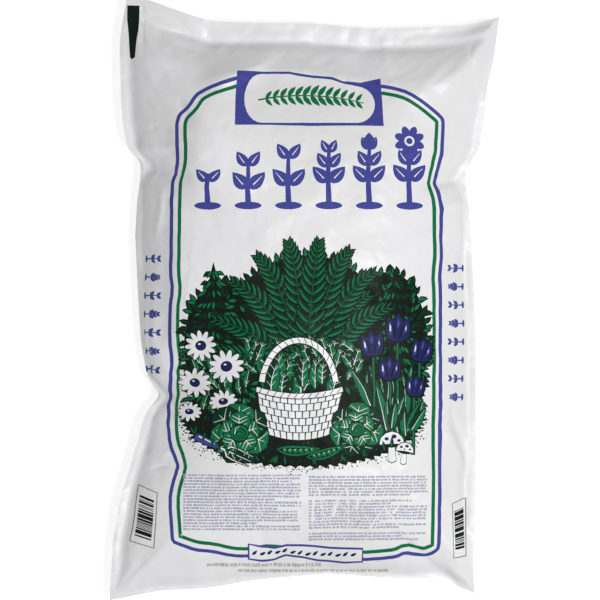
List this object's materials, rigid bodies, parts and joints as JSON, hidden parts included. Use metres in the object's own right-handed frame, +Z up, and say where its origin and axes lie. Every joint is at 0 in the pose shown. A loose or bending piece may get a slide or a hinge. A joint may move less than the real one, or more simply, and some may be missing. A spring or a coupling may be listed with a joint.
{
  "type": "topsoil bag",
  "caption": "Filled pillow bag of garden topsoil in white film, heat-sealed across both ends, lying flat on its back.",
  "frame": {"origin": "on the ground, in the middle of the bag's outline seen from above", "axes": "+Y towards the bag's top seal, +X across the bag, to the right of its printed face, +Z up, out of the printed face"},
  "size_m": [0.4244, 0.6582, 0.104],
  "materials": {
    "white_film": "satin white polyethylene film, printed in blue, green and black"
  },
  "bodies": {
    "root": {"soil_bag": "white_film"}
  },
  "joints": []
}
